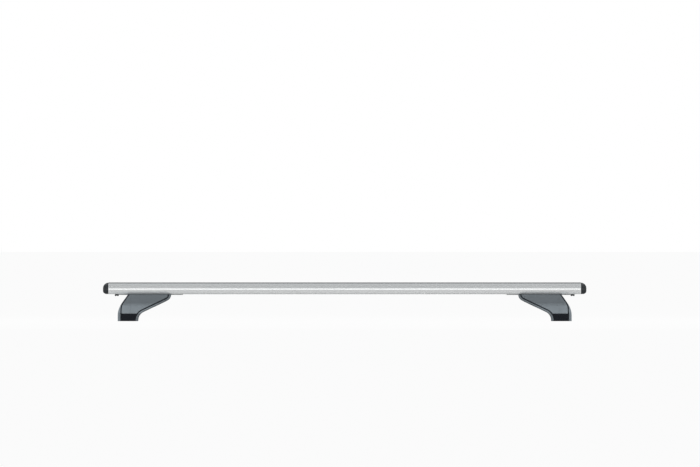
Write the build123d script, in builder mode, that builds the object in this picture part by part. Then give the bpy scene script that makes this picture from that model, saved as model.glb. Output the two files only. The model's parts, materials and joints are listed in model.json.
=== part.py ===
from build123d import *
import os
from math import cos, radians, sin, tan

# A roof rack crossbar: a wing-shaped bar on two clamping feet. Sizes are in millimetres.
# X runs along the bar, the leading edge faces -Y and Z is up. The origin is on the ground, below
# the middle of the slots. Left-hand pieces are drawn, and the right-hand ones are their mirror images.

os.makedirs("parts", exist_ok=True)

# Fits
slide_gap = 0.3        # between a foot and the bar that it slides on
seat_gap = 0.15        # between plastic pieces that are pushed together
turn_gap = 0.08        # radial, round a screw or lock that turns

# Bar section, measured from the slots' centre line and from the underside
bar_length = 1250.0
under_height = 71.0    # of the bar's underside above the ground
bar_nose = 31.0        # centre line to the leading edge
bar_tail = 49.0        # centre line to the trailing edge
bar_height = 30.0
bar_wall = 2.2
nose_height = 12.0
tail_height = 8.6
tail_radius = 4.3
tail_fall = 26.0       # degrees, slope of the top at the trailing edge
tail_rise = 25.0       # degrees, slope of the underside there

# Slots
lower_mouth = 14.6
lower_lip = 3.0
lower_cavity = 24.0
lower_depth = 8.0
upper_mouth = 12.4
upper_lip = 2.8
upper_cavity = 21.6
upper_depth = 7.0
seat_width = 18.4      # shallow step beside the upper mouth, for the strip
seat_depth = 1.6

# Top strip
strip_rise = 2.5       # of its ribs above the seat
strip_edge = 1.3       # of its edges above the seat
strip_groove = 0.8
strip_leg = 1.7
strip_barb = 1.4

# End caps
cap_length = 15.0
cap_inset = 0.4
cap_dome = 2.0         # bulge of the end face
cap_shoulder = (14.0, 17.0)   # rounding of its upper edge, along X and Z
cap_chin = (12.0, 10.0)       # and of its lower edge
plug_length = 18.0
plug_wall = 1.8
key_width = 14.5       # raised pad in line with the strip
key_length = 11.0
key_rise = 0.7

# Slot stops, measured inward from the bar's end
stop_root = 6.0        # the part that is let into the cap
stop_neck_end = 16.7
stop_head_end = 26.8
stop_neck = 10.0
stop_head = 14.0
stop_drop = 4.8        # of the head below the bar
stop_flange = 3.2
stop_chamfer = 2.0

# Slide rails
rail_length = 169.5
rail_web = 14.0
rail_drop = 2.0        # of the web below the bar
rail_flange = 3.4

# Feet, with distances measured inward from their outermost face
foot_setback = 25.0    # of that face from the end of the bar
foot_width = 136.0
foot_wall = 3.0
neck_width = 70.0
neck_start = 27.0      # outer end of the top
neck_end = 140.5       # inner end of the top
neck_round = 17.0
narrowing = 94.0       # where the plan starts to narrow, clear of the flanks
base_end = 53.0        # inner end of the base
tip_drop = 12.2        # below the bar, where the ramp's line meets the inner end
tip_round = 18.0
ramp_foot = 16.9       # where the ramp's line meets the base
ramp_round = 24.0
shoulder_height = 32.7 # where the outer wall starts to lean in
shoulder_round = 60.0
flare_drop = 29.0      # below the bar, where the flanks start to spread
flare_round = 10.0
skirt_height = 21.4    # of the upright part of the end faces
skirt_round = 3.0
lobe_depth = 8.0       # of the hollow between the two lobes
lobe_start = 22.0
lobe_end = 36.0
lobe_round = 12.0
corner_round = 10.0
rim_round = 2.2

# Crease that frames each flank, and the black seal in it
crease_width = 3.2
crease_depth = 1.5
crease_reach = 9.0     # how far in from the neck's sides it goes, round the tip
seal_sink = 0.4        # of the seal below the surface
crease_start = 7.2     # of the outer crease at the base
crease_shoulder = 41.4
crease_top = 28.0      # of the outer crease at the top
rim_width = 5.0        # between the crease and the ramp

# Split between cover and housing, and the clamp slot behind it
split_place = 33.0
split_gap = 0.3
partition = 3.0
clamp_slot = 11.0
slot_width = 114.0
slot_height = 52.0
inner_wall = 5.0
rib_inset = 29.0       # of each rib from the foot's side
rib_wall = 2.4
rib_height = 38.0

# Panels on the end faces
pad_depth = 2.2
pad_inset = 0.5

# Clamp
bore_drop = 26.5       # of the screw's axis below the bar
tool_bore = 14.0
tool_tube = 18.0
tube_start = 68.0
screw_size = 8.0
screw_length = 40.0
screw_head = 13.0
screw_hex = 6.0
washer_size = 16.0
washer_thick = 1.6
block_start = 17.5
block_length = 13.0
block_width = 13.5
block_height = 15.0
guide_wall = 2.0
guide_gap = 0.3

# Steel core
core_gap = 0.2
bracket_steel = 3.0
bracket_width = 50.0
bracket_end = 124.0
bracket_foot = 26.0    # height of the lower edge of its leg
bracket_flange = 9.0
bend_round = 3.0
rail_screw_size = 6.0
rail_screw_head = 10.5
rail_screw_rise = 3.3
rail_screw_places = (76.0, 110.0)

# Lock
lock_inset = 18.0      # of its axis from the foot's side
lock_height = 14.0
lock_size = 11.0
lock_face = 1.2
lock_end = 28.4
lock_boss = 17.0
lock_boss_end = 14.0
key_slot = 1.4
cam_reach = 9.0
cam_width = 7.0
cam_thick = 2.0
cam_screw_size = 4.0
cam_screw_head = 7.0
cam_screw_rise = 1.6
keeper_wall = 2.4
keeper_width = 5.4
keeper_gap = 0.6

end_x = -bar_length / 2
foot_reach = bar_length / 2 - foot_setback
crown = under_height + bar_height
foot_top = under_height - slide_gap
bore_height = under_height - bore_drop
lock_place = foot_width / 2 - lock_inset
rib_place = foot_width / 2 - rib_inset
rail_base = under_height - rail_drop
slot_place = split_place + partition
core_place = slot_place + clamp_slot + inner_wall
buried = 20.0          # how far below the ground the foot's profiles are drawn on, to be cut off


def inboard(distance):
    """X of what lies that far inward from the left foot's outermost face."""
    return -foot_reach + distance


def bar_outline(inset=0.0):
    """Closed outline of the bar on Y and Z, drawn in by inset."""
    tail_y = bar_tail - tail_radius
    tail_z = under_height + tail_height
    nose_z = under_height + nose_height
    fall = radians(tail_fall)
    rise = radians(tail_rise)
    tail = max(tail_radius - inset, tail_radius / 10)
    base = under_height + inset
    top_end = (tail_y + tail * sin(fall), tail_z + tail * cos(fall))
    low_end = (tail_y + tail * sin(rise), tail_z - tail * cos(rise))
    flat_end = low_end[0] - (low_end[1] - base) / tan(rise)
    with BuildLine() as outline:
        nose = EllipticalCenterArc(
            (0, nose_z), bar_nose - inset, bar_height - nose_height - inset, 90, arc_size=90
        )
        chin = CenterArc((nose_height - bar_nose, nose_z), nose_height - inset, 180, 90)
        Line(chin @ 1, (flat_end, base))
        Line((flat_end, base), low_end)
        CenterArc((tail_y, tail_z), tail, tail_rise - 90, 180 - tail_rise - tail_fall)
        Spline(top_end, nose @ 0, tangents=((-cos(fall), sin(fall)), (-1, 0)))
    return outline.edges()


def bar_chambers(shrink=0.0):
    """The closed chambers of the bar section on Y and Z, drawn in by shrink."""
    core = max(lower_cavity, upper_cavity) / 2 + bar_wall + shrink
    floor = under_height + lower_lip + lower_depth + bar_wall + shrink
    roof = crown - seat_depth - upper_lip - upper_depth - bar_wall - shrink
    middle = min(lower_cavity, upper_cavity) - 2 * shrink
    with BuildSketch() as chambers:
        make_face(bar_outline(bar_wall + shrink))
        with Locations((0, crown)):
            Rectangle(2 * core, 4 * bar_height, mode=Mode.SUBTRACT)
        with Locations((0, (floor + roof) / 2)):
            Rectangle(middle, roof - floor)
    return chambers.sketch


def write_piece(name, piece):
    """Label a piece and write it."""
    piece.label = name
    export_step(piece, f"parts/{name}.step")


def write_pair(name, left_piece):
    """Write a left-hand piece and its mirror image on the right."""
    write_piece(f"{name}_left", left_piece)
    write_piece(f"{name}_right", mirror(left_piece, about=Plane.YZ))


# Bar
with BuildPart() as bar:
    with BuildSketch(Plane.YZ.offset(end_x)):
        make_face(bar_outline())
        add(bar_chambers(), mode=Mode.SUBTRACT)
        with Locations((0, under_height)):
            Rectangle(lower_mouth, 2 * lower_lip, mode=Mode.SUBTRACT)
        with Locations((0, under_height + lower_lip)):
            Rectangle(lower_cavity, lower_depth, align=(Align.CENTER, Align.MIN), mode=Mode.SUBTRACT)
        with Locations((0, crown)):
            Rectangle(seat_width, 2 * seat_depth, mode=Mode.SUBTRACT)
            Rectangle(upper_mouth, 2 * (seat_depth + upper_lip), mode=Mode.SUBTRACT)
        with Locations((0, crown - seat_depth - upper_lip)):
            Rectangle(upper_cavity, upper_depth, align=(Align.CENTER, Align.MAX), mode=Mode.SUBTRACT)
    extrude(amount=bar_length)
write_piece("bar", bar.part)

# Top strip: a ribbed cap on the seat and two barbed legs through the mouth
seat = crown - seat_depth
strip_half = seat_width / 2 - seat_gap
leg_out = upper_mouth / 2 - seat_gap
leg_foot = seat - upper_lip - 2 * strip_barb - seat_gap
barb_top = seat - upper_lip - seat_gap
with BuildPart() as top_strip:
    with BuildSketch(Plane.YZ.offset(end_x)):
        with BuildLine():
            Polyline(
                (-strip_half, seat),
                (-strip_half, seat + strip_edge),
                (0.85 - strip_half, seat + strip_rise - 0.2),
                (-2.7, seat + strip_rise),
                (-1.9, seat + strip_rise - strip_groove),
                (-0.8, seat + strip_rise - strip_groove),
                (0, seat + strip_rise),
                (strip_half - 2.9, seat + strip_rise),
                (strip_half - 2.3, seat + strip_rise - strip_groove),
                (strip_half - 1.6, seat + strip_rise - strip_groove),
                (strip_half - 1.1, seat + strip_rise - 0.2),
                (strip_half, seat + strip_edge),
                (strip_half, seat),
                close=True,
            )
        make_face()
        with BuildLine():
            Polyline(
                (leg_out - strip_leg, seat),
                (leg_out, seat),
                (leg_out, barb_top),
                (leg_out + strip_barb, barb_top),
                (leg_out - 0.4, leg_foot),
                (leg_out - strip_leg, leg_foot),
                close=True,
            )
        leg = make_face()
        mirror(leg, about=Plane.YZ)
    extrude(amount=bar_length)
write_piece("top_strip", top_strip.part)

# End caps: a domed cover over the bar's end with a hollow plug in each chamber
dome_radius = ((bar_nose + bar_tail) ** 2 / 4 + cap_dome**2) / (2 * cap_dome)
cap_end = end_x - cap_length
cap_top = crown - cap_inset + key_rise
with BuildPart() as end_cap:
    with BuildSketch(Plane.YZ.offset(cap_end)):
        make_face(bar_outline(cap_inset))
    extrude(amount=cap_length)
    with BuildSketch(Plane.XY.offset(under_height)):
        with Locations((cap_end + dome_radius, (bar_tail - bar_nose) / 2)):
            Circle(dome_radius)
    extrude(amount=bar_height, mode=Mode.INTERSECT)
    with BuildSketch(Plane.XY.offset(cap_top - 2 * key_rise)):
        with Locations((end_x - key_length / 2 - seat_gap, 0)):
            RectangleRounded(key_length, key_width, radius=key_length / 4)
    extrude(amount=2 * key_rise)
    with BuildSketch(Plane.XZ):
        with BuildLine():
            shoulder = EllipticalCenterArc(
                (cap_end + cap_shoulder[0], cap_top - cap_shoulder[1]), *cap_shoulder, 90, arc_size=90
            )
            chin = EllipticalCenterArc(
                (cap_end + cap_chin[0], under_height + cap_chin[1]), *cap_chin, 180, arc_size=90
            )
            Line(shoulder @ 1, chin @ 0)
            Polyline(chin @ 1, (end_x, under_height), (end_x, cap_top), shoulder @ 0)
        make_face()
    extrude(amount=bar_nose + bar_tail, both=True, mode=Mode.INTERSECT)
    with BuildSketch(Plane.YZ.offset(end_x)):
        add(bar_chambers(seat_gap))
    extrude(amount=plug_length)
    with BuildSketch(Plane.YZ.offset(end_x + plug_wall)):
        add(bar_chambers(seat_gap + plug_wall).faces().sort_by(SortBy.AREA)[-2:])
    extrude(amount=plug_length, mode=Mode.SUBTRACT)

# The tongue's root fills a notch in the cap's underside
root_start = end_x - stop_root
with BuildPart() as stop_notch:
    with BuildSketch(Plane.XY.offset(under_height - stop_drop)):
        with Locations((root_start - seat_gap, 0)):
            Rectangle(
                stop_root + 2 * seat_gap, stop_head + 2 * seat_gap, align=(Align.MIN, Align.CENTER)
            )
    extrude(amount=stop_drop + lower_lip + seat_gap)
with BuildPart() as notched_cap:
    add(end_cap.part)
    add(stop_notch.part, mode=Mode.SUBTRACT)
write_pair("end_cap", notched_cap.part)

# Slot stops: a hammer head hanging out of the slot, on a neck and a root, held by a flange inside
with BuildPart() as slot_stop:
    with BuildSketch(Plane.XY.offset(under_height + cap_inset)):
        with Locations((root_start, 0)):
            Rectangle(stop_root - seat_gap, stop_head, align=(Align.MIN, Align.CENTER))
            Rectangle(stop_root + stop_head_end, stop_neck, align=(Align.MIN, Align.CENTER))
    extrude(amount=lower_lip - cap_inset)
    with BuildSketch(Plane.XY.offset(under_height - stop_drop)):
        with Locations((end_x + stop_head_end, 0)):
            head = Rectangle(stop_head_end - stop_neck_end, stop_head, align=(Align.MAX, Align.CENTER))
        chamfer(head.vertices(), length=stop_chamfer)
    extrude(amount=stop_drop + lower_lip)
    with BuildSketch(Plane.XY.offset(under_height + lower_lip)):
        with Locations((end_x + stop_head_end, 0)):
            Rectangle(
                stop_head_end - stop_neck_end,
                lower_cavity - 2 * seat_gap,
                align=(Align.MAX, Align.CENTER),
            )
    extrude(amount=stop_flange)
    with BuildSketch(Plane.XY.offset(under_height - stop_drop)):
        with Locations((end_x + (stop_neck_end + stop_head_end) / 2, 0)):
            Rectangle(stop_chamfer, stop_head)
    extrude(amount=stop_drop / 4, mode=Mode.SUBTRACT)
write_pair("slot_stop", slot_stop.part)


def side_outline(head, start=0.0):
    """Closed outline of the foot on X and Z up to head: ramp inboard, shoulder from start outboard."""
    tip_height = under_height - tip_drop
    lean = neck_start / (foot_top - shoulder_height)
    slope = (tip_height - ramp_foot) / (neck_end - base_end)
    turn = (1 + slope**2) ** 0.5 - slope
    tip = min(tip_round, 0.99 * (foot_top - tip_height) / turn)
    with BuildLine() as outline:
        ramp = FilletPolyline(
            (inboard(neck_end), head),
            (inboard(neck_end), tip_height),
            (inboard(base_end), ramp_foot),
            (inboard(base_end), -buried),
            radius=(tip, ramp_round),
        )
        shell = FilletPolyline(
            (inboard(start), -buried),
            (inboard(start), shoulder_height),
            (inboard(start + neck_start + (head - foot_top) * lean), head),
            radius=shoulder_round,
        )
        Line(ramp @ 1, shell @ 0)
        Line(shell @ 1, ramp @ 0)
    return outline.edges()


def front_outline():
    """Closed outline of the foot on Y and Z: a neck that flares out to an upright skirt."""
    half = foot_width / 2
    neck = neck_width / 2
    with BuildLine() as outline:
        flank = FilletPolyline(
            (neck, foot_top),
            (neck, under_height - flare_drop),
            (half, skirt_height),
            (half, -buried),
            radius=(flare_round, skirt_round),
        )
        Line((0, foot_top), flank @ 0)
        Line(flank @ 1, (0, -buried))
        mirror(about=Plane.YZ)
    return outline.edges()


def plan_outline():
    """Closed outline of the foot on X and Y: two lobes outboard, a rounded tip inboard."""
    half = foot_width / 2
    neck = neck_width / 2
    with BuildLine() as outline:
        FilletPolyline(
            (inboard(lobe_depth), 0),
            (inboard(lobe_depth), lobe_start),
            (inboard(0), lobe_end),
            (inboard(0), half),
            (inboard(narrowing), half),
            (inboard(neck_end - neck_round - 0.8), neck),
            (inboard(neck_end), neck),
            (inboard(neck_end), 0),
            radius=(lobe_round, lobe_round, corner_round, 1, 0.4, neck_round),
        )
        mirror(about=Plane.XZ)
    return outline.edges()


def foot_form(inset=0.0, floor=0.0):
    """The foot's form, drawn in by inset on all sides and cut off level at floor."""
    with BuildPart() as form:
        with BuildSketch(Plane.XZ):
            make_face(side_outline(foot_top))
            if inset:
                offset(amount=-inset, mode=Mode.REPLACE)
        extrude(amount=foot_width, both=True)
        with BuildSketch(Plane.YZ.offset(inboard(-buried))):
            make_face(front_outline())
            if inset:
                offset(amount=-inset, mode=Mode.REPLACE)
        extrude(amount=neck_end + 2 * buried, mode=Mode.INTERSECT)
        with BuildSketch(Plane.XY.offset(floor)):
            make_face(plan_outline())
            if inset:
                offset(amount=-inset, mode=Mode.REPLACE)
        extrude(amount=under_height, mode=Mode.INTERSECT)
    return form.part


def flank_face(draw_in=0.0):
    """The framed face of the flank on X and Z, drawn in by draw_in."""
    head = foot_top + buried
    lean = (crease_top - crease_start) / (foot_top - crease_shoulder)
    start = crease_start + draw_in
    with BuildSketch() as face:
        make_face(side_outline(head, -2 * buried))
        offset(amount=-rim_width - draw_in, mode=Mode.REPLACE)
        with BuildLine():
            edge = FilletPolyline(
                (inboard(start), -2 * buried),
                (inboard(start), crease_shoulder),
                (inboard(start + (head - crease_shoulder) * lean), head),
                radius=shoulder_round / 2,
            )
            Polyline(edge @ 1, (inboard(neck_end), head), (inboard(neck_end), -2 * buried), edge @ 0)
        make_face(mode=Mode.INTERSECT)
    return face.sketch


# Outer form of a foot, with its rims rounded, a crease round each flank and a recess for the panels
plain_form = foot_form()
ramp_line = side_outline(foot_top)


def on_rim(edge):
    """True for an edge where a flank meets the ramp."""
    middle = edge @ 0.5
    beside = abs(middle.Y) > neck_width / 2 - neck_round
    upright = 0.1 < middle.Z < foot_top - 0.1 and middle.X > inboard(split_place)
    if not (beside and upright and edge.length > 1.0):
        return False
    return min(line.distance_to(Vector(middle.X, middle.Z, 0)) for line in ramp_line) < 0.05


with BuildPart() as foot_solid:
    add(plain_form)
    fillet([edge for edge in foot_solid.edges() if on_rim(edge)], radius=rim_round)

with BuildPart() as crease:
    with BuildSketch(Plane.XZ):
        add(flank_face())
        add(flank_face(crease_width), mode=Mode.SUBTRACT)
    extrude(amount=foot_width, both=True)
    add(foot_form(crease_depth, -1), mode=Mode.SUBTRACT)
    with BuildSketch(Plane.XY):
        Rectangle(4 * foot_reach, neck_width - 2 * crease_reach)
    extrude(amount=under_height, mode=Mode.SUBTRACT)

pad_half = foot_width / 2
with BuildPart() as pad_space:
    with BuildSketch(Plane.XZ):
        add(flank_face(crease_width))
        with Locations((inboard(0), 0)):
            Rectangle(
                neck_end,
                skirt_height - skirt_round / 2,
                align=(Align.MIN, Align.MIN),
                mode=Mode.INTERSECT,
            )
    extrude(amount=pad_half, both=True)
    with BuildSketch(Plane.XY):
        Rectangle(4 * foot_reach, 2 * (pad_half - pad_depth))
    extrude(amount=under_height, mode=Mode.SUBTRACT)

with BuildPart() as foot_shell:
    add(foot_solid.part)
    add(crease.part, mode=Mode.SUBTRACT)
    add(pad_space.part, mode=Mode.SUBTRACT)

foot_cavity = foot_form(foot_wall, -1)

# Channel in the foot's top for the rail's web
with BuildPart() as rail_channel:
    with BuildSketch(Plane.XY.offset(rail_base)):
        with Locations((inboard(0), 0)):
            Rectangle(neck_end + buried, rail_web + 2 * seat_gap, align=(Align.MIN, Align.CENTER))
    extrude(amount=rail_drop)

# Outer cover: a shell open below and behind, with two cross ribs and a boss for the lock
cover_end = split_place - split_gap
with BuildPart() as cover_ribs:
    with BuildSketch(Plane.XY):
        with Locations((inboard(0), rib_place), (inboard(0), -rib_place)):
            Rectangle(cover_end, rib_wall, align=(Align.MIN, Align.CENTER))
    extrude(amount=rib_height)
    add(foot_form(foot_wall / 2), mode=Mode.INTERSECT)

with BuildPart() as lock_tube:
    with BuildSketch(Plane.YZ.offset(inboard(0))):
        with Locations((lock_place, lock_height)):
            Circle(lock_boss / 2)
    extrude(amount=lock_boss_end)
    add(foot_form(foot_wall / 2), mode=Mode.INTERSECT)

with BuildPart() as outer_cover:
    add(foot_shell.part)
    add(foot_cavity, mode=Mode.SUBTRACT)
    split(bisect_by=Plane.YZ.offset(inboard(cover_end)), keep=Keep.BOTTOM)
    add(cover_ribs.part)
    add(lock_tube.part)
    add(rail_channel.part, mode=Mode.SUBTRACT)
    with BuildSketch(Plane.YZ.offset(inboard(-1))):
        with Locations((lock_place, lock_height)):
            Circle(lock_size / 2 + turn_gap)
    extrude(amount=lock_boss_end + 2, mode=Mode.SUBTRACT)
write_pair("outer_cover", outer_cover.part)

# Foot housing: partition, clamp slot, inner wall and a hollow for the steel core
with BuildPart() as slot_space:
    with BuildSketch(Plane.XY.offset(-1)):
        with Locations((inboard(slot_place), 0)):
            Rectangle(clamp_slot, slot_width, align=(Align.MIN, Align.CENTER))
    extrude(amount=slot_height + 1)
    add(foot_cavity, mode=Mode.INTERSECT)

with BuildPart() as core_space:
    add(foot_cavity)
    split(bisect_by=Plane.YZ.offset(inboard(core_place)), keep=Keep.TOP)
    with BuildSketch(Plane.XY.offset(rail_base - bracket_steel - bracket_flange)):
        with Locations((inboard(core_place), 0)):
            Rectangle(
                bracket_end + core_gap - core_place,
                bracket_width + 2 * core_gap,
                align=(Align.MIN, Align.CENTER),
            )
    extrude(amount=under_height)

with BuildPart() as tool_guide:
    with BuildSketch(Plane.YZ.offset(inboard(tube_start))):
        with Locations((0, bore_height)):
            Circle(tool_tube / 2)
    extrude(amount=neck_end - tube_start)
    add(foot_form(foot_wall / 2), mode=Mode.INTERSECT)

with BuildPart() as block_guides:
    with BuildSketch(Plane.XY.offset(bore_height - block_height / 2)):
        reach = block_width / 2 + guide_gap + guide_wall / 2
        with Locations((inboard(split_place), reach), (inboard(split_place), -reach)):
            Rectangle(split_place - block_start, guide_wall, align=(Align.MAX, Align.CENTER))
    extrude(amount=block_height)
    add(foot_form(foot_wall + slide_gap), mode=Mode.INTERSECT)

keeper_base = lock_height + lock_size / 2 + keeper_gap
keeper_roof = lock_height + cam_reach + keeper_gap
keeper_lip = lock_end - keeper_gap
with BuildPart() as keeper:
    with BuildSketch(Plane.XZ.offset(-lock_place)):
        with BuildLine():
            Polyline(
                (inboard(split_place), keeper_roof),
                (inboard(split_place), keeper_roof + keeper_wall),
                (inboard(keeper_lip - keeper_wall), keeper_roof + keeper_wall),
                (inboard(keeper_lip - keeper_wall), keeper_base),
                (inboard(keeper_lip), keeper_base),
                (inboard(keeper_lip), keeper_roof),
                close=True,
            )
        make_face()
    extrude(amount=keeper_width / 2, both=True)

with BuildPart() as foot_housing:
    add(foot_shell.part)
    split(bisect_by=Plane.YZ.offset(inboard(split_place)), keep=Keep.TOP)
    add(slot_space.part, mode=Mode.SUBTRACT)
    add(core_space.part, mode=Mode.SUBTRACT)
    add(tool_guide.part)
    add(block_guides.part)
    add(keeper.part)
    add(rail_channel.part, mode=Mode.SUBTRACT)
    with BuildSketch(Plane.YZ.offset(inboard(tube_start - 1))):
        with Locations((0, bore_height)):
            Circle(tool_bore / 2)
    extrude(amount=neck_end, mode=Mode.SUBTRACT)
    with BuildSketch(Plane.YZ.offset(inboard(split_place - 1))):
        with Locations((0, bore_height)):
            Circle(screw_size / 2 + guide_gap)
    extrude(amount=core_place + 2 - split_place, mode=Mode.SUBTRACT)
write_pair("foot_housing", foot_housing.part)

# Panels in the end faces, one pair on the cover and one pair on the housing
with BuildPart() as pads:
    with BuildSketch(Plane.XZ):
        add(flank_face(crease_width + seat_gap))
        with Locations((inboard(0), 0)):
            Rectangle(
                neck_end,
                skirt_height - skirt_round / 2 - seat_gap,
                align=(Align.MIN, Align.MIN),
                mode=Mode.INTERSECT,
            )
    extrude(amount=pad_half - pad_inset, both=True)
    with BuildSketch(Plane.XY):
        Rectangle(4 * foot_reach, 2 * (pad_half - pad_depth))
    extrude(amount=under_height, mode=Mode.SUBTRACT)

with BuildPart() as seals:
    with BuildSketch(Plane.XZ):
        add(flank_face(seat_gap))
        add(flank_face(crease_width - seat_gap), mode=Mode.SUBTRACT)
    extrude(amount=foot_width, both=True)
    add(foot_form(seal_sink), mode=Mode.INTERSECT)
    add(foot_form(crease_depth - seat_gap, -1), mode=Mode.SUBTRACT)
    with BuildSketch(Plane.XY):
        Rectangle(4 * foot_reach, neck_width - 2 * crease_reach + 2 * seat_gap)
    extrude(amount=under_height, mode=Mode.SUBTRACT)

with BuildPart() as cover_pads:
    add(pads.part)
    add(seals.part)
    split(bisect_by=Plane.YZ.offset(inboard(cover_end)), keep=Keep.BOTTOM)
write_pair("cover_pads", cover_pads.part)

with BuildPart() as housing_pads:
    add(pads.part)
    add(seals.part)
    split(bisect_by=Plane.YZ.offset(inboard(split_place)), keep=Keep.TOP)
write_pair("housing_pads", housing_pads.part)

# Slide rail: a web in the slot's mouth and a flange above its lips, with two tapped holes
rail_start = end_x + stop_head_end + slide_gap
flange_base = under_height + lower_lip + slide_gap
screw_points = [(inboard(place), 0) for place in rail_screw_places]
with BuildPart() as slide_rail:
    with BuildSketch(Plane.YZ.offset(rail_start)):
        with Locations((0, rail_base)):
            Rectangle(rail_web, flange_base - rail_base, align=(Align.CENTER, Align.MIN))
        with Locations((0, flange_base)):
            Rectangle(lower_cavity - 2 * slide_gap, rail_flange, align=(Align.CENTER, Align.MIN))
    extrude(amount=rail_length)
    with BuildSketch(Plane.XY.offset(rail_base)):
        with Locations(*screw_points):
            Circle(rail_screw_size / 2 + turn_gap)
    extrude(amount=lower_lip + 2 * rail_drop + rail_flange, mode=Mode.SUBTRACT)
write_pair("slide_rail", slide_rail.part)

# Foot bracket: folded steel, a top plate under the rail, two flanges and a leg that holds the clamp
plate_top = rail_base
plate_base = plate_top - bracket_steel
leg_start = core_place + core_gap
with BuildPart() as foot_bracket:
    with BuildSketch(Plane.XZ):
        with BuildLine():
            Polyline(
                (inboard(leg_start), bracket_foot),
                (inboard(leg_start), plate_top),
                (inboard(bracket_end), plate_top),
                (inboard(bracket_end), plate_base),
                (inboard(leg_start + bracket_steel), plate_base),
                (inboard(leg_start + bracket_steel), bracket_foot),
                close=True,
            )
        make_face()
    extrude(amount=bracket_width / 2, both=True)
    bend = foot_bracket.edges().filter_by(Axis.Y).group_by(Axis.Z)[-1].sort_by(Axis.X)[0]
    fillet(bend, radius=bend_round)
    with BuildSketch(Plane.XY.offset(plate_base - bracket_flange + bracket_steel)):
        span = bracket_end - leg_start - 2 * bracket_steel
        reach = (bracket_width - bracket_steel) / 2
        middle = inboard(bracket_end - span / 2)
        with Locations((middle, reach), (middle, -reach)):
            Rectangle(span, bracket_steel)
    extrude(amount=bracket_flange)
    with BuildSketch(Plane.XY.offset(plate_base)):
        with Locations(*screw_points):
            Circle(rail_screw_size / 2 + core_gap)
    extrude(amount=bracket_steel, mode=Mode.SUBTRACT)
    with BuildSketch(Plane.YZ.offset(inboard(leg_start))):
        with Locations((0, bore_height)):
            Circle(screw_size / 2 + guide_gap)
    extrude(amount=bracket_steel, mode=Mode.SUBTRACT)
write_pair("foot_bracket", foot_bracket.part)

# Rail screws: button heads under the plate, shanks up into the rail
rail_top = flange_base + rail_flange
with BuildPart() as rail_screws:
    with BuildSketch(Plane.XY.offset(plate_base)):
        with Locations(*screw_points):
            Circle(rail_screw_head / 2)
    extrude(amount=-rail_screw_rise)
    fillet(rail_screws.edges().group_by(Axis.Z)[0], radius=rail_screw_rise / 2)
    with BuildSketch(Plane.XY.offset(plate_base)):
        with Locations(*screw_points):
            Circle(rail_screw_size / 2)
    extrude(amount=rail_top - plate_base - slide_gap)
    with BuildSketch(Plane.XY.offset(plate_base - rail_screw_rise)):
        with Locations(*screw_points):
            RegularPolygon(rail_screw_size / 3, 6)
    extrude(amount=rail_screw_rise * 0.6, mode=Mode.SUBTRACT)
write_pair("rail_screws", rail_screws.part)

# Clamp screw and its washer, lying along X below the bore
washer_start = leg_start + bracket_steel + turn_gap
head_start = washer_start + washer_thick
with BuildPart() as clamp_washer:
    with BuildSketch(Plane.YZ.offset(inboard(washer_start))):
        with Locations((0, bore_height)):
            Circle(washer_size / 2)
            Circle(screw_size / 2 + turn_gap, mode=Mode.SUBTRACT)
    extrude(amount=washer_thick)
write_pair("clamp_washer", clamp_washer.part)

with BuildPart() as clamp_screw:
    with BuildSketch(Plane.YZ.offset(inboard(head_start))):
        with Locations((0, bore_height)):
            Circle(screw_head / 2)
    extrude(amount=screw_size)
    fillet(clamp_screw.edges().group_by(Axis.X)[-1], radius=1.0)
    with BuildSketch(Plane.YZ.offset(inboard(head_start))):
        with Locations((0, bore_height)):
            Circle(screw_size / 2)
    extrude(amount=-screw_length)
    chamfer(clamp_screw.edges().group_by(Axis.X)[0], length=1.0)
    with BuildSketch(Plane.YZ.offset(inboard(head_start + screw_size / 2))):
        with Locations((0, bore_height)):
            RegularPolygon(screw_hex / 2, 6, major_radius=False)
    extrude(amount=screw_size / 2, mode=Mode.SUBTRACT)
write_pair("clamp_screw", clamp_screw.part)

# Clamp block: a tapped block that the screw draws towards the partition
with BuildPart() as clamp_block:
    with BuildSketch(Plane.YZ.offset(inboard(block_start))):
        with Locations((0, bore_height)):
            Rectangle(block_width, block_height)
    extrude(amount=block_length)
    outer_top = clamp_block.edges().filter_by(Axis.Y).group_by(Axis.Z)[-1].sort_by(Axis.X)[0]
    chamfer(outer_top, length=2.5)
    with BuildSketch(Plane.YZ.offset(inboard(block_start))):
        with Locations((0, bore_height)):
            Circle(screw_size / 2 + turn_gap)
    extrude(amount=block_length, mode=Mode.SUBTRACT)
write_pair("clamp_block", clamp_block.part)

# Lock: a barrel through the boss, a cam on its inner end and the screw that holds the cam
with BuildPart() as lock_barrel:
    with BuildSketch(Plane.YZ.offset(inboard(lock_face))):
        with Locations((lock_place, lock_height)):
            Circle(lock_size / 2)
    extrude(amount=lock_end - lock_face)
    chamfer(lock_barrel.edges().group_by(Axis.X)[0], length=0.6)
    with BuildSketch(Plane.YZ.offset(inboard(lock_face))):
        with Locations((lock_place, lock_height)):
            Rectangle(key_slot, lock_size * 0.6)
    extrude(amount=lock_size, mode=Mode.SUBTRACT)
    with BuildSketch(Plane.YZ.offset(inboard(lock_end))):
        with Locations((lock_place, lock_height)):
            Circle(cam_screw_size / 2 + turn_gap)
    extrude(amount=-lock_size, mode=Mode.SUBTRACT)
write_pair("lock_barrel", lock_barrel.part)

with BuildPart() as lock_cam:
    with BuildSketch(Plane.YZ.offset(inboard(lock_end))):
        with Locations((lock_place, lock_height)):
            Circle(lock_size / 2 - turn_gap)
        with Locations((lock_place, lock_height)):
            Rectangle(cam_width, cam_reach, align=(Align.CENTER, Align.MIN))
        with Locations((lock_place, lock_height)):
            Circle(cam_reach, mode=Mode.INTERSECT)
            Circle(cam_screw_size / 2 + turn_gap, mode=Mode.SUBTRACT)
    extrude(amount=cam_thick)
write_pair("lock_cam", lock_cam.part)

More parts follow.
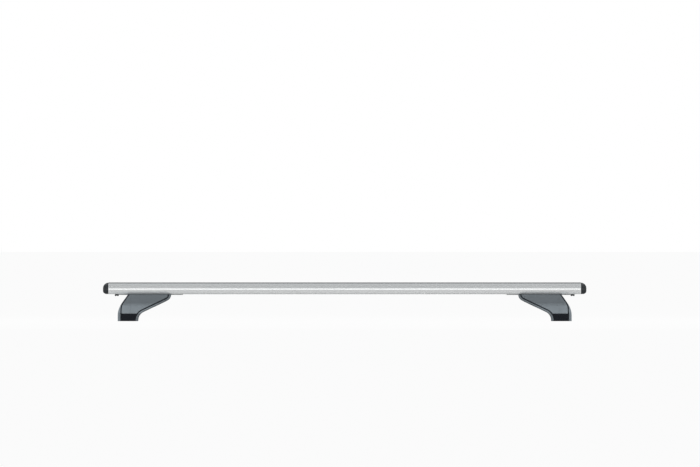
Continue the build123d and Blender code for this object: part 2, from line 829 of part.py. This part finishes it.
with BuildPart() as cam_screw:
    with BuildSketch(Plane.YZ.offset(inboard(lock_end + cam_thick))):
        with Locations((lock_place, lock_height)):
            Circle(cam_screw_head / 2)
    extrude(amount=cam_screw_rise)
    with BuildSketch(Plane.YZ.offset(inboard(lock_end + cam_thick))):
        with Locations((lock_place, lock_height)):
            Circle(cam_screw_size / 2)
    extrude(amount=-lock_size / 2 - cam_thick)
write_pair("cam_screw", cam_screw.part)
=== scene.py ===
import json
import math

import bpy
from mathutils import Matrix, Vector


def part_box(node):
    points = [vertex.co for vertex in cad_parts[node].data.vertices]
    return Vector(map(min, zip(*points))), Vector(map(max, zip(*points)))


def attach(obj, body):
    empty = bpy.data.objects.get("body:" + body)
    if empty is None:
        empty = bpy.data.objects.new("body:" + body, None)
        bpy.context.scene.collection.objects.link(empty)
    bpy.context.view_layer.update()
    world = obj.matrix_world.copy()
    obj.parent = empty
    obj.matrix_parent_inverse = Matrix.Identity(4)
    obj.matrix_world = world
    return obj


# roof rack crossbar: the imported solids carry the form, this script gives them their finish,
# adds the small turned and moulded pieces, and sets up the studio

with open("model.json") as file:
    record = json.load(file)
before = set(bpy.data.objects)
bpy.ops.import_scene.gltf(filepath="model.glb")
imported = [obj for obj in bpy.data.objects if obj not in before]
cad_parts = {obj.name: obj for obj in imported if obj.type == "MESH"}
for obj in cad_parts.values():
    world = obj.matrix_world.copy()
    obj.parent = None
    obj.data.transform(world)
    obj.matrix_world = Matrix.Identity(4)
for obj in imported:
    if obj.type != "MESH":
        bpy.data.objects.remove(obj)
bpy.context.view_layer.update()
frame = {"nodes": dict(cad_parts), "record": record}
record = frame["record"]
print("frame loaded:", len(frame["nodes"]), "nodes")

sides = {"left": -1, "right": 1}
footReach = 0.6  # metres from the middle of the bar to a foot's outermost face


# a shader's output, which can be added, subtracted and multiplied
class Wire:
    def __init__(self, net, socket):
        self.net, self.socket = net, socket

    def __add__(self, other): return self.net.math("ADD", self, other)
    def __sub__(self, other): return self.net.math("SUBTRACT", self, other)
    def __rsub__(self, other): return self.net.math("SUBTRACT", other, self)
    def __mul__(self, other): return self.net.math("MULTIPLY", self, other)


# the nodes of one material, or of the sky
class Net:
    def __init__(self, name, sky=False):
        self.owner = (bpy.data.worlds if sky else bpy.data.materials).new(name)
        self.owner.use_nodes = True
        self.tree = self.owner.node_tree
        self.tree.nodes.clear()
        self.surface = self.tree.nodes.new("ShaderNodeOutput" + ("World" if sky else "Material"))
        self.point = self.node("TexCoord", out="Generated" if sky else "Object")

    def node(self, kind, settings=None, *values, out=0, **named):
        made = self.tree.nodes.new("ShaderNode" + kind)
        for key, value in (settings or {}).items():
            setattr(made, key, value)
        for socket, value in [*enumerate(values), *named.items()]:
            self.feed(made, socket, value)
        return Wire(self, made.outputs[out])

    def feed(self, made, socket, value):
        if isinstance(socket, str):
            socket = socket.replace("_", " ")
        if isinstance(value, Wire):
            self.tree.links.new(value.socket, made.inputs[socket])
        elif value is not None:
            made.inputs[socket].default_value = value

    def math(self, operation, *values):
        return self.node("Math", {"operation": operation}, *values)

    def noise(self, at, scale, detail=2.0, roughness=0.5):
        return self.node("TexNoise", None, Vector=at, Scale=scale, Detail=detail, Roughness=roughness)

    def streaks(self, along, across, detail, roughness=0.5):
        stretched = self.node("Mapping", None, self.point, Scale=(along, across, across))
        return self.noise(stretched, 1.0, detail, roughness)

    def part(self, vector, axis):
        return self.node("SeparateXYZ", None, vector, out=axis)

    def facing(self):  # 1 for what faces up, -1 for what faces down
        return self.part(self.node("NewGeometry", out="Normal"), "Z")

    def ramp(self, factor, low, high, start=0.0, end=1.0):
        return self.node("MapRange", {"clamp": True}, factor, low, high, start, end)

    def blend(self, factor, first, second):
        made = self.tree.nodes.new("ShaderNodeMix")
        made.data_type = "RGBA"
        for index, value in ((0, factor), (6, first), (7, second)):
            plain = index == 0 or isinstance(value, Wire)
            self.feed(made, index, value if plain else (*value, 1))
        return Wire(self, made.outputs[2])

    def bump(self, height, strength, distance, under=None):
        return self.node("Bump", None, Height=height, Strength=strength, Distance=distance, Normal=under)

    def show(self, shader):
        self.tree.links.new(shader.socket, self.surface.inputs["Surface"])
        return self.owner


# camera: a long lens from far off, level, along +Y
cameraSettings = {
    "pixelSize": 0.002647,    # metres in the object's plane
    "distance": 40.0,
    "clip": (1.0, 200.0),
    "centreColumn": 344.7,    # picture column of the bar's middle
    "floorRow": 321.0,        # picture row of the floor under the feet
    "pictureSize": (700, 467),
    "sensor": 36.0,
}


def makeCamera(s):
    wide, high = s["pictureSize"]
    bpy.ops.object.camera_add()
    camera = bpy.context.object
    camera.name = "pictureCamera"
    camera.data.sensor_width = s["sensor"]
    camera.data.lens = s["distance"] / s["pixelSize"] * s["sensor"] / wide
    camera.data.clip_start, camera.data.clip_end = s["clip"]
    camera.location = ((wide / 2 - s["centreColumn"]) * s["pixelSize"], -s["distance"],
                       (s["floorRow"] - high / 2) * s["pixelSize"])
    camera.rotation_euler = (math.radians(90), 0, 0)
    bpy.context.scene.camera = camera


makeCamera(cameraSettings)
print("camera placed")

# studio: pale floor, soft sky and four soft lamps
skySettings = {
    "color": (0.95, 0.98, 1.0),
    "horizonLevel": 0.75,
    "zenithLevel": 0.47,
    "backShade": 0.9,    # how far the low sky behind the bar is darkened
    "backHeight": 0.4,   # sine of the height where that ends
}
floorSettings = {
    "size": 300.0,
    "color": (0.5, 0.5, 0.5),
    "grain": 3.0,        # noise scale of the paper
    "grainDetail": 3.0,
    "grainLift": 1.03,   # its lighter patches against the plain colour
    "white": 0.95,       # how far the camera sees the floor as plain white
    "gloss": 0.15,       # and how far reflections do
}
lampSettings = {
    "overhead": {"place": (0.0, 0.0, 2.6), "aim": (0.0, 0.0, 0.0), "size": (4.0, 1.2),
                 "watts": 46, "reflected": False},
    "frontLow": {"place": (0.0, -3.2, 1.15), "aim": (0.0, 0.0, 0.05), "size": (8.0, 1.2),
                 "watts": 34, "reflected": True},
    "leftFill": {"place": (-2.6, -0.5, 0.3), "aim": (-0.5, 0.0, 0.0), "size": (1.2, 0.6),
                 "watts": 42, "reflected": False},
    "rightFill": {"place": (2.6, -0.5, 0.3), "aim": (0.5, 0.0, 0.0), "size": (1.2, 0.6),
                  "watts": 42, "reflected": False},
}


def makeSky(s):
    net = Net("studioSky", sky=True)
    height = net.part(net.point, "Z")
    level = net.ramp(height, 0.0, 1.0, s["horizonLevel"], s["zenithLevel"])
    behind = net.ramp(net.part(net.point, "Y"), 0.0, 1.0)
    low = net.ramp(height, 0.0, s["backHeight"], s["backShade"], 0.0)
    soft = net.node("Background", None, Color=(*s["color"], 1), Strength=level - level * (behind * low))
    white = net.node("Background", None, Color=(1, 1, 1, 1), Strength=1.0)
    camera = net.node("LightPath", out="Is Camera Ray")
    bpy.context.scene.world = net.show(net.node("MixShader", None, camera, soft, white))


def makeFloor(s):
    bpy.ops.object.select_all(action="DESELECT")
    bpy.ops.mesh.primitive_plane_add(size=s["size"])
    floor = bpy.context.object
    floor.name = "studioFloor"
    net = Net("studioPaper")
    grain = net.noise(net.point, s["grain"], s["grainDetail"])
    paper = net.blend(grain, s["color"], [level * s["grainLift"] for level in s["color"]])
    shade = net.node("BsdfDiffuse", None, Color=paper)
    glow = net.node("Emission", None, Color=(1, 1, 1, 1), Strength=1.0)
    direct = net.node("LightPath", out="Is Camera Ray") * s["white"]
    mirrored = net.node("LightPath", out="Is Glossy Ray") * s["gloss"]
    floor.data.materials.append(net.show(net.node("MixShader", None, direct + mirrored, shade, glow)))


def makeLamp(name, s):
    bpy.ops.object.light_add(type="AREA", location=s["place"])
    lamp = bpy.context.object
    lamp.name = name
    lamp.data.shape = "RECTANGLE"
    lamp.data.size, lamp.data.size_y = s["size"]
    lamp.data.energy = s["watts"]
    lamp.rotation_euler = (Vector(s["aim"]) - Vector(s["place"])).to_track_quat("-Z", "Y").to_euler()
    lamp.visible_camera, lamp.visible_glossy = False, s["reflected"]


makeSky(skySettings)
makeFloor(floorSettings)
for name, settings in lampSettings.items():
    makeLamp(name, settings)
bpy.context.scene.view_settings.view_transform = "Standard"
print("studio lit")

# metals: die lines along X over broad clouds, with a fine grain
metalSettings = {
    "lineLength": 1.5, "lineDetail": 4.0, "lineEdge": 0.6,         # each finish says how fine they are across
    "broad": (4.0, 60.0), "broadDetail": 3.0,
    "toneShares": (0.6, 0.4), "toneRange": (0.35, 0.65),
    "roughShares": (0.5, 0.5), "roughRange": (0.3, 0.7), "roughSpread": (-0.012, 0.018),
    "cutColor": (0.97, 0.97, 0.97), "cutDepth": 0.0016, "cutBlur": 0.0006, "cutRoughness": 0.12,
    "underRange": (-0.35, -0.75), "underRoughness": 0.2,           # of the upright part of the normal
    "grainBump": (0.008, 0.00002), "lineBump": (0.012, 0.00001),   # strength and distance
}


def metal(name, color, dark, roughness, lines, grain, metallic=1.0, cutEnd=None, dull=0.0, s=metalSettings):
    net = Net(name)
    drawn = net.streaks(s["lineLength"], lines, s["lineDetail"], s["lineEdge"])
    broad = net.streaks(*s["broad"], s["broadDetail"])
    speck = net.noise(net.point, grain)
    tone = drawn * s["toneShares"][0] + broad * s["toneShares"][1]
    base = net.blend(net.ramp(tone, *s["toneRange"]), dark, color)
    uneven = drawn * s["roughShares"][0] + broad * s["roughShares"][1]
    rough = net.ramp(uneven, *s["roughRange"], *[roughness + spread for spread in s["roughSpread"]])
    if cutEnd:  # the last stretch at each end is painted near white and made rougher
        along = net.math("ABSOLUTE", net.part(net.point, "X"))
        start = cutEnd - s["cutDepth"]
        endBand = net.ramp(along, start, start + s["cutBlur"])
        base = net.blend(endBand, base, s["cutColor"])
        rough = rough + endBand * s["cutRoughness"]
    if dull:  # what faces down is less bright-dipped than the rest
        under = net.ramp(net.facing(), *s["underRange"])
        metallic = metallic - under * dull
        rough = rough + under * s["underRoughness"]
    relief = net.bump(drawn, *s["lineBump"], net.bump(speck, *s["grainBump"]))
    return net.show(net.node("BsdfPrincipled", None, Base_Color=base, Roughness=rough,
                             Metallic=metallic, Normal=relief))


# plastics and rubber: moulded grain under soft clouds
plasticSettings = {
    "cloud": 18.0, "cloudDetail": 4.0,
    "speck": 0.7,                                                  # its scale against the grain's
    "toneShares": (0.55, 0.45), "toneRange": (0.34, 0.66),
    "roughRange": (0.3, 0.7), "roughSpread": (-0.05, 0.06),
    # painted shade for what faces down and painted light for what faces up
    "shadeColor": (0.02, 0.022, 0.025), "shadeRange": (-0.8, 0.1),
    "paintedLight": 1.45, "paintedLightRange": (0.1, 0.9), "paintedLightShare": 0.5,
    "grainBump": 0.5,
}


def plastic(name, color, dark, roughness, grain, depth, sheen=0.5, paintedShadeAndLight=0.0, s=plasticSettings):
    net = Net(name)
    cells = net.node("TexVoronoi", {"feature": "SMOOTH_F1"}, Vector=net.point, Scale=grain)
    cloud = net.noise(net.point, s["cloud"], s["cloudDetail"])
    speck = net.noise(net.point, grain * s["speck"])
    tone = speck * s["toneShares"][0] + cloud * s["toneShares"][1]
    base = net.blend(net.ramp(tone, *s["toneRange"]), dark, color)
    rough = net.ramp(cloud, *s["roughRange"], *[roughness + spread for spread in s["roughSpread"]])
    if paintedShadeAndLight:  # painted light on what faces up, painted shade on what faces down
        facing = net.facing()
        base = net.blend(net.ramp(facing, *s["shadeRange"], paintedShadeAndLight, 0.0), base, s["shadeColor"])
        pale = [tint * s["paintedLight"] for tint in color]
        base = net.blend(net.ramp(facing, *s["paintedLightRange"], 0.0, paintedShadeAndLight * s["paintedLightShare"]), base, pale)
    return net.show(net.node("BsdfPrincipled", None, Base_Color=base, Roughness=rough,
                             Normal=net.bump(cells, s["grainBump"], depth), Specular_IOR_Level=sheen))


finishes = {
    "aluminium_bar": metal("anodisedAluminium", color=(0.81, 0.816, 0.812), dark=(0.78, 0.786, 0.784),
                           roughness=0.27, lines=1400, grain=9000, metallic=0.86, cutEnd=0.625, dull=0.7),
    "rail_aluminium": metal("millAluminium", color=(0.45, 0.46, 0.455), dark=(0.37, 0.38, 0.375),
                            roughness=0.38, lines=900, grain=6000, metallic=0.95),
    "strip_rubber": plastic("stripRubber", color=(0.024, 0.029, 0.034), dark=(0.013, 0.016, 0.020),
                            roughness=0.46, grain=2600, depth=0.00003, sheen=0.3),
    "cap_plastic": plastic("capPlastic", color=(0.022, 0.024, 0.027), dark=(0.013, 0.015, 0.017),
                           roughness=0.32, grain=2200, depth=0.00003, sheen=0.34),
    # the foot plastic gets painted shade underneath and painted light on top
    "foot_plastic": plastic("footPlastic", color=(0.133, 0.151, 0.165), dark=(0.108, 0.124, 0.136),
                            roughness=0.5, grain=1900, depth=0.00006, sheen=0.4, paintedShadeAndLight=0.85),
    "pad_plastic": plastic("padPlastic", color=(0.012, 0.014, 0.018), dark=(0.007, 0.008, 0.011),
                           roughness=0.42, grain=2200, depth=0.00004, sheen=0.06),
    "zinc_steel": metal("zincPlate", color=(0.60, 0.60, 0.57), dark=(0.42, 0.43, 0.43),
                        roughness=0.36, lines=400, grain=5000),
    "fastener_steel": metal("fastenerSteel", color=(0.55, 0.55, 0.54), dark=(0.38, 0.38, 0.38),
                            roughness=0.32, lines=300, grain=5000),
    "lock_metal": metal("lockNickel", color=(0.42, 0.45, 0.42), dark=(0.30, 0.33, 0.31),
                        roughness=0.3, lines=500, grain=6000),
}
slotOf = {entry["node"]: entry["material_slot"] for entry in record["subparts"]}
for node, piece in frame["nodes"].items():
    for place in piece.material_slots:
        place.material = finishes[slotOf[node]]
print("finishes made:", len(finishes))


def clear():
    if bpy.context.object and bpy.context.object.mode != "OBJECT":
        bpy.ops.object.mode_set(mode="OBJECT")
    bpy.ops.object.select_all(action="DESELECT")


def settle(piece, name, body, slot, smooth=40):
    for modifier in list(piece.modifiers):
        bpy.ops.object.modifier_apply(modifier=modifier.name)
    bpy.ops.object.transform_apply(location=True, rotation=True, scale=True)
    bpy.ops.object.shade_smooth_by_angle(angle=math.radians(smooth))
    piece.name = piece.data.name = name
    piece.data.materials.append(finishes[slot])
    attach(piece, body)


def axisOf(node):  # Y and Z of the axis of a round piece that lies along X
    low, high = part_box(node)
    return (low[1] + high[1]) / 2, (low[2] + high[2]) / 2


def flatRing(s, place, turn, stretch=1.0):
    # a flat washer drawn as a circle, widened, thickened and softened at its edges
    inner, outer = s["inner"], s["outer"]
    clear()
    bpy.ops.mesh.primitive_circle_add(vertices=s["corners"], radius=inner, fill_type="NOTHING",
                                      location=place)
    ring = bpy.context.object
    bpy.ops.object.mode_set(mode="EDIT")
    bpy.ops.mesh.select_all(action="SELECT")
    bpy.ops.transform.resize(value=(stretch, 1, 1), center_override=place)
    bpy.ops.mesh.extrude_edges_move()
    longer = (inner * stretch + outer - inner) / (inner * stretch)
    bpy.ops.transform.resize(value=(longer, outer / inner, 1), center_override=place)
    bpy.ops.mesh.select_all(action="SELECT")
    bpy.ops.mesh.normals_make_consistent(inside=False)
    bpy.ops.transform.rotate(value=turn, orient_axis="Y", center_override=place)
    bpy.ops.object.mode_set(mode="OBJECT")
    wall = ring.modifiers.new("wall", "SOLIDIFY")
    wall.thickness, wall.offset = s["thick"], 0
    edge = ring.modifiers.new("edge", "BEVEL")
    edge.width, edge.segments, edge.limit_method = s["soften"], s["softenSteps"], "ANGLE"
    return ring


# bezel round each lock, let into the cover
bezelSettings = {"inner": 0.0059, "outer": 0.0075, "thick": 0.0017, "corners": 96,
                 "soften": 0.0003, "softenSteps": 3, "proud": 0.0005}


def makeBezel(s, side, sign):
    axisY, axisZ = axisOf("lock_barrel_" + side)
    place = (sign * (footReach + s["proud"] - s["thick"] / 2), axisY, axisZ)
    settle(flatRing(s, place, math.radians(90)), "lockBezel." + side, side + "_foot", "lock_metal")


# raised lip round the tool bore, lying on the ramp
lipSettings = {"inner": 0.0071, "outer": 0.0081, "thick": 0.0009, "corners": 96,
               "soften": 0.0003, "softenSteps": 3, "proud": 0.0003,
               "slope": 25.58, "reach": 0.4894, "height": 0.0445}


def makeBoreLip(s, side, sign):
    tilt = math.radians(s["slope"])
    out = s["proud"] - s["thick"] / 2
    place = (sign * (s["reach"] - out * math.sin(tilt)), 0, s["height"] - out * math.cos(tilt))
    ring = flatRing(s, place, -sign * tilt, 1 / math.sin(tilt))
    settle(ring, "boreLip." + side, side + "_foot", "cap_plastic")


# thread on each clamp screw
threadSettings = {"radius": 0.00402, "size": 0.00042, "corners": 4, "pitch": 0.00125, "turns": 16,
                  "steps": 32, "start": 0.055, "smooth": 60}


def makeThread(s, side, sign):
    axisY, axisZ = axisOf("clamp_screw_" + side)
    clear()
    bpy.ops.mesh.primitive_circle_add(vertices=s["corners"], radius=s["size"], fill_type="NOTHING",
                                      location=(sign * (footReach - s["start"]), axisY, axisZ),
                                      rotation=(math.pi / 2, 0, 0))
    thread = bpy.context.object
    bpy.ops.object.transform_apply(location=False, rotation=True, scale=True)
    bpy.ops.object.mode_set(mode="EDIT")
    bpy.ops.mesh.select_all(action="SELECT")
    bpy.ops.transform.translate(value=(0, 0, s["radius"]))
    bpy.ops.object.mode_set(mode="OBJECT")
    winding = thread.modifiers.new("winding", "SCREW")
    winding.axis, winding.screw_offset, winding.iterations = "X", s["pitch"], s["turns"]
    winding.steps = winding.render_steps = s["steps"]
    winding.use_merge_vertices = True
    settle(thread, "clampThread." + side, side + "_clamp_screw", "fastener_steel", s["smooth"])


for side, sign in sides.items():
    makeBezel(bezelSettings, side, sign)
    makeBoreLip(lipSettings, side, sign)
    makeThread(threadSettings, side, sign)
clear()
print("bezels, bore lips and threads made")
